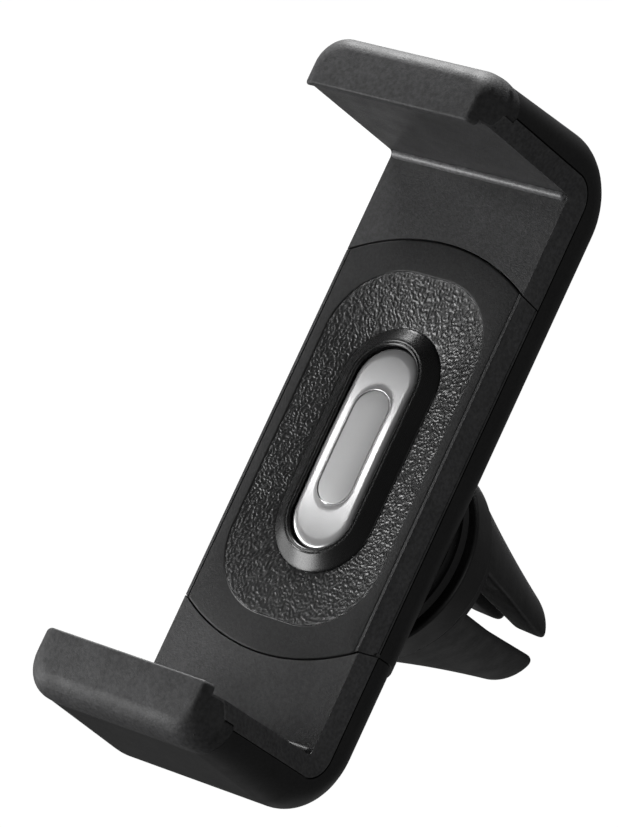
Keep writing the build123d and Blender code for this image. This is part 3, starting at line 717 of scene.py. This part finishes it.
def spine_rays(points, straight):
    """Unit directions from the long axis through each point."""
    rays = []
    for x, z in points:
        spine = max(-straight, min(straight, x))
        size = math.hypot(x - spine, z)
        rays.append((spine, ((x - spine) / size, z / size)))
    return rays


def grain(x, z):
    """Height of the leather grain, 0 to 1: worm-like ridges that wander and break up."""
    warp = noise.noise_vector(Vector((x / WARP, z / WARP, 3.0))) * WARP_REACH
    fine = noise.noise(Vector(((x + warp.x) / WORM, (z + warp.y) / WORM, 0.0)))
    knots = noise.noise(Vector((x / KNOT, z / KNOT, 9.0)))
    ridge = min(1.0, max(0.0, 1.2 + 0.9 * knots - abs(fine) / WORM_WIDTH))
    return ridge * ridge * (3 - 2 * ridge) + 0.12 * knots


def textured_inlay():
    """Ring of leather grain between the face plate's rim and the bezel, as a closed solid."""
    noise.seed_set(GRAIN_SEED)
    half_length, _, _, back = measure("textured_inlay")
    bezel_length, bezel_half, _, _ = measure("bezel")
    around = int(2 * (half_length + INLAY_HALF) * 1.7 / GRAIN_STEP)
    inner = stadium(bezel_half + 0.02, bezel_length + 0.02, around)
    rays = spine_rays(inner, bezel_length - bezel_half)
    outer = outline(lambda x, z: inlay_inside(x, z, half_length + 0.05), rays)
    across = int(RING_WIDTH / GRAIN_STEP)
    rings = []
    for k in range(across + 1):
        t = k / across
        points = inner + (outer - inner) * t
        fade = min(1.0, (1 - t) * 14, 0.4 + t * 8)
        slope = DISH_DEPTH + (RIM_DEPTH - DISH_DEPTH) * t**0.85
        depth = [slope + WORM_HEIGHT * (0.45 - grain(x, z)) * fade for x, z in points]
        rings.append(on_face(points, np.array(depth)))
    rings.append(on_face(outer, back))
    rings.append(on_face(inner, back))
    piece = add_object("textured_inlay_relief", *loft(rings, closed=True), smooth_angle=75)
    finish_piece(piece, "holder", "leather_grain", "textured_inlay")


PLATE_POINTS = 900
PLATE_ROUND, HOLE_ROUND = 0.26, 0.2
FAR_EXTRA = 0.11  # how much wider the plate is on the far side


def face_plate():
    """Face plate with softly rounded edges; it closes up to the frame on the far side."""
    radius, near_half, _, back = measure("face_plate")
    far_half = near_half + FAR_EXTRA
    half_length = measure("textured_inlay")[0]
    bezel_length, bezel_half, _, _ = measure("bezel")
    seed = stadium(bezel_half, bezel_length, PLATE_POINTS)
    rays = spine_rays(seed, bezel_length - bezel_half)
    outer = outline(lambda x, z: math.hypot(x, z) < radius and -far_half < z < near_half, rays)
    inner = outline(lambda x, z: inlay_inside(x, z, half_length + 0.06), rays)
    steps = np.array([d for _, d in rays])
    profile = round_profile([(0.0, back), (0.0, 0.0), (0.8, 0.0)], PLATE_ROUND)
    rings = [on_face(outer - steps * inset, depth) for inset, depth in profile[:-1]]
    profile = round_profile([(0.6, 0.0), (0.0, 0.0), (0.0, back)], HOLE_ROUND)
    rings += [on_face(inner + steps * inset, depth) for inset, depth in profile[1:]]
    piece = add_object("face_plate_rounded", *loft(rings, closed=True), smooth_angle=50)
    finish_piece(piece, "holder", "grained_plastic", "face_plate", finish="face_grain")


# ---- bezel, badge and its oval: rings lofted over long-hole outlines ----
def long_hole_loft(name, half_width, half_length, profile, count=160, closed=False):
    """Skin over long holes: each (inset, depth) of the profile is one outline."""
    rings = [
        on_face(stadium(half_width - inset, half_length - inset, count), depth)
        for inset, depth in profile
    ]
    return add_object(name, *loft(rings, closed))


BADGE_GAP = 0.1
SEAT_LEDGE = 0.3
BEZEL_ROUND = 0.22


def bezel():
    """Polished frame: a soft outer slope, a fine groove and a thin ring round the badge."""
    length, half, front, back = measure("bezel")
    _, badge_half, _, seat = measure("badge_plate")
    hole = half - badge_half - BADGE_GAP
    outline = [
        (0.0, back),
        (0.0, 0.78),
        (0.25, 0.62),
        (hole - 0.72, front + 0.12),
        (hole - 0.50, front + 0.02),
        (hole - 0.40, front + 0.10),
        (hole - 0.30, front + 0.10),
        (hole - 0.20, front),
        (hole, front + 0.12),
        (hole, seat),
        (hole + SEAT_LEDGE, seat),
        (hole + SEAT_LEDGE, back),
        (0.0, back),
    ]
    profile = round_profile(outline, BEZEL_ROUND)[:-1]
    piece = long_hole_loft("bezel_polished", half, length, profile, closed=True)
    finish_piece(piece, "holder", "gloss_black", "bezel")


CROWN = 0.32  # the badge stands this much higher in its middle than at its ends
RIM = 0.55  # width of the badge's turned-down rim
FIELD_GAP = 0.06
LAND = 0.16  # from the field's recess to where the flat of the plate begins
LAND_STEPS = 6


def crowned(points, depth, half_length):
    """Places an outline on the badge's gentle crown."""
    drop = CROWN * (points[:, 0] / half_length) ** 2
    return on_face(points, depth + drop)


def badge():
    """Satin plate with a turned-down rim, a gentle crown and a shallow oval field, left plain."""
    length, half, _, back = measure("badge_plate")
    oval_length, oval_half, _, _ = measure("badge_oval")
    profile = round_profile([(0.0, back), (0.0, 0.34), (0.22, 0.06), (RIM, 0.0)], 0.25)
    shapes = [(half - inset, length - inset, depth) for inset, depth in profile]
    for k in range(1, LAND_STEPS + 1):
        w = half - RIM + (oval_half + LAND - half + RIM) * k / LAND_STEPS
        h = length - RIM + (oval_length + LAND - length + RIM) * k / LAND_STEPS
        shapes.append((w, h, 0.0))
    for w, d in ((0.10, -0.012), (0.03, 0.0), (-0.02, 0.06), (-0.04, 0.30)):
        shapes.append((oval_half + w, oval_length + w, d))
    rings = [crowned(stadium(w, h, 200), d, length) for w, h, d in shapes]
    piece = add_object("badge_plate_satin", *loft(rings), smooth_angle=50)
    finish_piece(piece, "holder", "satin_silver", "badge_plate")
    field_half = oval_half - FIELD_GAP
    field_length = oval_length - FIELD_GAP
    profile = [(0.0, 0.28), (0.0, 0.09), (0.02, 0.06), (0.08, 0.05)]
    rings = [
        crowned(stadium(field_half - inset, field_length - inset, 140), depth, length)
        for inset, depth in profile
    ]
    field = add_object("badge_field", *loft(rings, ladder=True), smooth_angle=50)
    finish_piece(field, "holder", "satin_grey", "badge_oval")


# ---- vent clip: a flange and four rounded prongs ----
CLIP_TURN = math.radians(4.1)
PRONG_START, SLOT_FLOOR = 13.6, 14.3
PRONG_SHORT = 0.6  # how far the soft tips end before the plain ones
PRONG_END_RADIUS = 4.0
PRONG_BULGE = 0.75  # how far the sides stand outside a straight taper at the end
TIP_ROUND, TIP_INSET, TIP_DRAW = 2.1, 0.8, 0.6  # length of the rounded tip, and how far it draws in
TIP_POWER = 2.6  # 2 is a circular tip, and more is blunter
SHAFT_RINGS, TIP_RINGS = 26, 14
PRONG_POINTS = 96
FACE_POINTS, ARC_POINTS = 60, 90
CORNER_BLUR = 0.42
BORE_RADIUS = 8.5
FLANGE_POINTS = 96


def slot_half(depth):
    """Half width of a louvre slot at a depth below the front face."""
    return float(np.interp(depth, (SLOT_FLOOR, 21.6, 32.4), (2.1, 1.83, 1.0)))


def prong_section(half_slot, radius):
    """Outline of one prong between its two slot faces, with soft corners, in mm."""
    side = math.sqrt(max(radius**2 - half_slot**2, 1e-6))
    a0 = math.atan2(half_slot, side)
    a1 = math.pi / 2 - a0
    inner = np.array([half_slot, half_slot])
    corners = [inner, np.array([side, half_slot])]
    along = np.linspace(0, 1, FACE_POINTS, endpoint=False)
    path = [corners[0] + (corners[1] - corners[0]) * t for t in along]
    angles = np.linspace(a0, a1, ARC_POINTS, endpoint=False)
    path += [radius * np.array([math.cos(a), math.sin(a)]) for a in angles]
    top = np.array([half_slot, side])
    path += [top + (inner - top) * t for t in along]
    path = np.array(path)
    steps = np.linalg.norm(np.diff(path, axis=0, append=path[:1]), axis=1)
    length = np.concatenate([[0], np.cumsum(steps)])
    wanted = np.linspace(0, length[-1], PRONG_POINTS, endpoint=False)
    loop = np.vstack([path, path[:1]])
    even = np.stack([np.interp(wanted, length, loop[:, i]) for i in (0, 1)], axis=1)
    spacing = length[-1] / PRONG_POINTS
    sigma = min(CORNER_BLUR, 0.12 * length[-1] / math.pi) / spacing
    reach = int(4 * sigma) + 1
    offsets = np.arange(-reach, reach + 1)
    weights = np.exp(-0.5 * (offsets / max(sigma, 1e-3)) ** 2)
    weights /= weights.sum()
    soft = np.zeros_like(even)
    for offset, weight in zip(offsets, weights):
        soft += weight * np.roll(even, -offset, axis=0)
    return soft


def prong(name, turn, outer_radius, end):
    """One prong: soft-cornered sections from inside the flange to a rounded tip."""
    round_start = end - TIP_ROUND
    depths = [*np.linspace(PRONG_START, round_start, SHAFT_RINGS, endpoint=False)]
    tip_angles = np.linspace(0, math.pi / 2, TIP_RINGS)
    depths += [end - TIP_ROUND * (1 - math.sin(a)) for a in tip_angles]
    rings = []
    for depth in depths:
        past = max(0.0, (depth - round_start) / TIP_ROUND)
        draw = 1 - max(0.0, 1 - past**TIP_POWER) ** (1 / TIP_POWER)
        half_slot = slot_half(max(depth, SLOT_FLOOR)) + TIP_INSET * draw
        bulge = PRONG_BULGE * max(0.0, (depth - SLOT_FLOOR) / (end - SLOT_FLOOR)) ** 2
        radius = outer_radius(depth) + bulge - TIP_DRAW * draw
        section = prong_section(half_slot, max(radius, half_slot * 1.45))
        x = section[:, 0] * math.cos(turn) + section[:, 1] * math.sin(turn)
        z = -section[:, 0] * math.sin(turn) + section[:, 1] * math.cos(turn)
        rings.append(np.stack([x * MM, np.full(len(x), FACE_Y + depth * MM), z * MM], axis=1))
    return add_object(name, *loft(rings), smooth_angle=60)


def vent_clip():
    """Soft clip: conical flange, four tapered prongs with rounded ends, turned about the swivel."""
    _, root, front, back = measure("vent_clip")
    end = back - PRONG_SHORT
    collar_back = measure("clip_collar")[3]

    def outer_radius(depth):
        return root + (PRONG_END_RADIUS - root) * (depth - collar_back) / (end - collar_back)

    prongs = [
        prong(f"prong_{quadrant}", CLIP_TURN + quadrant * math.pi / 2, outer_radius, end)
        for quadrant in range(4)
    ]
    flange_profile = [
        (BORE_RADIUS, front),
        (BORE_RADIUS, collar_back),
        (root - 0.05, collar_back),
        (outer_radius(SLOT_FLOOR), SLOT_FLOOR),
    ]
    angles = np.linspace(0, 2 * math.pi, FLANGE_POINTS, endpoint=False)
    rings = [
        np.stack(
            [r * np.cos(angles) * MM, np.full(FLANGE_POINTS, FACE_Y + d * MM), r * np.sin(angles) * MM],
            axis=1,
        )
        for r, d in flange_profile
    ]
    clip = add_object("vent_clip_soft", *loft(rings), smooth_angle=40)
    for piece in prongs:
        cut(clip, piece, "UNION")
    clip.data.shade_smooth()
    clip.data.set_sharp_from_angle(angle=math.radians(50))
    finish_piece(clip, "clip", "clip_rubber", "vent_clip")


# ---- return springs: close-wound wire between the anchor pins and the slide's pins ----
WIRE_RADIUS = 0.19 * MM
HOOK = 1.3 * MM
COIL_STEPS, WIRE_SIDES = 14, 7
PITCH = 2.1  # in wire radii, so that the coils lie just clear of each other


def return_spring(name, node):
    """Extension spring with plain hooks."""
    low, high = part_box(node)
    axis_y, axis_z = (low.y + high.y) / 2, (low.z + high.z) / 2
    radius = (high.z - low.z) / 2
    coil = radius - WIRE_RADIUS
    start, finish = low.x + HOOK, high.x - HOOK
    turns = int((finish - start) / (PITCH * WIRE_RADIUS))
    path = []
    for k in range(turns * COIL_STEPS + 1):
        a = 2 * math.pi * k / COIL_STEPS
        x = start + (finish - start) * k / (turns * COIL_STEPS)
        path.append((x, axis_y + coil * math.cos(a), axis_z + coil * math.sin(a)))
    bend = [(WIRE_RADIUS + HOOK * 0.2 * (1 - t), axis_y + coil * t) for t in (0.0, 0.35, 0.7)]
    head = [(low.x + inset, y, axis_z) for inset, y in bend]
    tail = [(high.x - inset, y, axis_z) for inset, y in reversed(bend)]
    path = np.array([*head, *path, *tail])
    tangents = np.gradient(path, axis=0)
    tangents /= np.linalg.norm(tangents, axis=1)[:, None]
    rings = []
    for point, tangent in zip(path, tangents):
        side = np.cross(tangent, (1.0, 0.15, 0.1))
        side /= np.linalg.norm(side)
        up = np.cross(side, tangent)
        angles = np.linspace(0, 2 * math.pi, WIRE_SIDES, endpoint=False)
        circle = np.outer(np.cos(angles), side) + np.outer(np.sin(angles), up)
        rings.append(point + WIRE_RADIUS * circle)
    piece = add_object(name, *loft(rings), smooth_angle=80)
    piece.data.materials.append(MATERIALS["spring_steel"])
    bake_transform(piece)
    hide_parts(node)


# ---- stage, lights and camera ----
def aim(direction):
    """Rotation that points an object's -Z along a direction."""
    return Vector(direction).to_track_quat("-Z", "Y").to_matrix().to_4x4()


def softbox(name, direction, distance, size, power):
    """Round area light that looks at the object from a direction; metres and watts."""
    lamp = bpy.data.lights.new(name, "AREA")
    lamp.shape = "DISK"
    lamp.size = size
    lamp.energy = power
    place = Vector(direction).normalized()
    item = bpy.data.objects.new(name, lamp)
    item.matrix_world = Matrix.Translation(place * distance) @ aim(-place)
    item.visible_camera = False
    bpy.context.scene.collection.objects.link(item)


SURROUND_LIGHT = 0.09
FLOOR_HEIGHT, FLOOR_HALF = -0.12, 3.0


def stage():
    """Pale floor and a pale surround; only dim light comes from the surround itself."""
    world = bpy.data.worlds.new("studio")
    bpy.context.scene.world = world
    world.use_nodes = True
    nodes, links = world.node_tree.nodes, world.node_tree.links
    background = nodes["Background"]
    background.inputs["Color"].default_value = (1, 1, 1, 1)
    path = nodes.new("ShaderNodeLightPath")
    strength = nodes.new("ShaderNodeMapRange")
    strength.inputs["To Min"].default_value = SURROUND_LIGHT
    strength.inputs["To Max"].default_value = 1.0
    links.new(path.outputs["Is Camera Ray"], strength.inputs["Value"])
    links.new(strength.outputs["Result"], background.inputs["Strength"])
    signs = ((-1, -1), (1, -1), (1, 1), (-1, 1))
    corners = [(FLOOR_HALF * x, FLOOR_HALF * y, FLOOR_HEIGHT) for x, y in signs]
    mesh = bpy.data.meshes.new("floor")
    mesh.from_pydata(corners, [], [(0, 1, 2, 3)])
    floor = bpy.data.objects.new("floor", mesh)
    bpy.context.scene.collection.objects.link(floor)
    pale = bpy.data.materials.new("pale_floor")
    pale.use_nodes = True
    surface = pale.node_tree.nodes["Principled BSDF"]
    surface.inputs["Base Color"].default_value = (0.1, 0.1, 0.1, 1)
    surface.inputs["Roughness"].default_value = 1.0
    surface.inputs["Specular IOR Level"].default_value = 0.0
    surface.inputs["Emission Color"].default_value = (1, 1, 1, 1)
    surface.inputs["Emission Strength"].default_value = 1.0
    mesh.materials.append(pale)
    floor.visible_diffuse = False
    floor.visible_glossy = False
    floor.visible_shadow = False


SENSOR = 36.0
FOCAL = 5385.4 / 828  # in picture heights
LENS = SENSOR * FOCAL
CAMERA_PLACE = (80.69, -397.0, 319.02)  # in mm
CAMERA_RIGHT = (-0.4163, 0.5312, 0.7379)
CAMERA_UP = (-0.8924, -0.3940, -0.2199)


def camera():
    """Camera at the viewing angle, turned so that the holder lies across the frame as it is shown."""
    lens = bpy.data.cameras.new("camera")
    lens.sensor_width = SENSOR
    lens.lens = LENS
    item = bpy.data.objects.new("camera", lens)
    right, up = Vector(CAMERA_RIGHT), Vector(CAMERA_UP)
    turn = Matrix((right, up, right.cross(up))).transposed().to_4x4()
    item.matrix_world = Matrix.Translation(Vector(CAMERA_PLACE) * MM) @ turn
    bpy.context.scene.collection.objects.link(item)
    bpy.context.scene.camera = item


# name, direction from the object, distance, diameter, power
LIGHTS = (
    ("key", (0.52, -0.62, -0.58), 0.36, 0.18, 0.85),
    ("dish", (0.14, -0.59, -0.79), 0.50, 0.12, 0.42),
    ("side", (0.40, -0.15, -0.90), 0.50, 0.30, 0.60),
    ("top_back", (-0.20, 0.70, -0.70), 0.50, 0.30, 0.25),
    ("near_side", (0.00, -0.30, 1.00), 0.50, 0.30, 0.20),
    ("back_fill", (0.40, 0.88, -0.10), 0.50, 0.45, 0.09),
    ("sheen", (-0.17, -0.76, -0.63), 0.50, 0.06, 0.09),
    ("top_band", (-1.00, -0.14, -0.42), 0.40, 0.22, 3.2),
)

slots = {part["node"]: part["material_slot"] for part in frame["record"]["subparts"]}
for node, piece in frame["nodes"].items():
    piece.data.materials.clear()
    piece.data.materials.append(MATERIALS[slots[node]])

jaw_cap("fixed_jaw_cap_soft", "fixed_jaw_cap", FIXED, "holder", 0.30, 0.0)
jaw_cap("sliding_jaw_cap_soft", "sliding_jaw_cap", SLIDING, "slide", 0.0, 0.35)
jaw_liner("fixed_jaw_liner_refined", "fixed_jaw_liner", FIXED, "holder")
jaw_liner("sliding_jaw_liner_refined", "sliding_jaw_liner", SLIDING, "slide")
# the fixed jaw's bead gets the lighter copy as a painted highlight; the sliding jaw's bead keeps the dark
# grain
crease_bead("fixed_jaw_bead", "fixed_jaw_liner", FIXED, "holder", "bead_painted_highlight")
crease_bead("sliding_jaw_bead", "sliding_jaw_liner", SLIDING, "slide", "face_grain")
front_frame()
face_plate()
textured_inlay()
bezel()
badge()
vent_clip()
return_spring("return_spring_upper_wire", "return_spring_upper")
return_spring("return_spring_lower_wire", "return_spring_lower")

bpy.context.scene.view_settings.view_transform = "Standard"
stage()
for light in LIGHTS:
    softbox(*light)
camera()
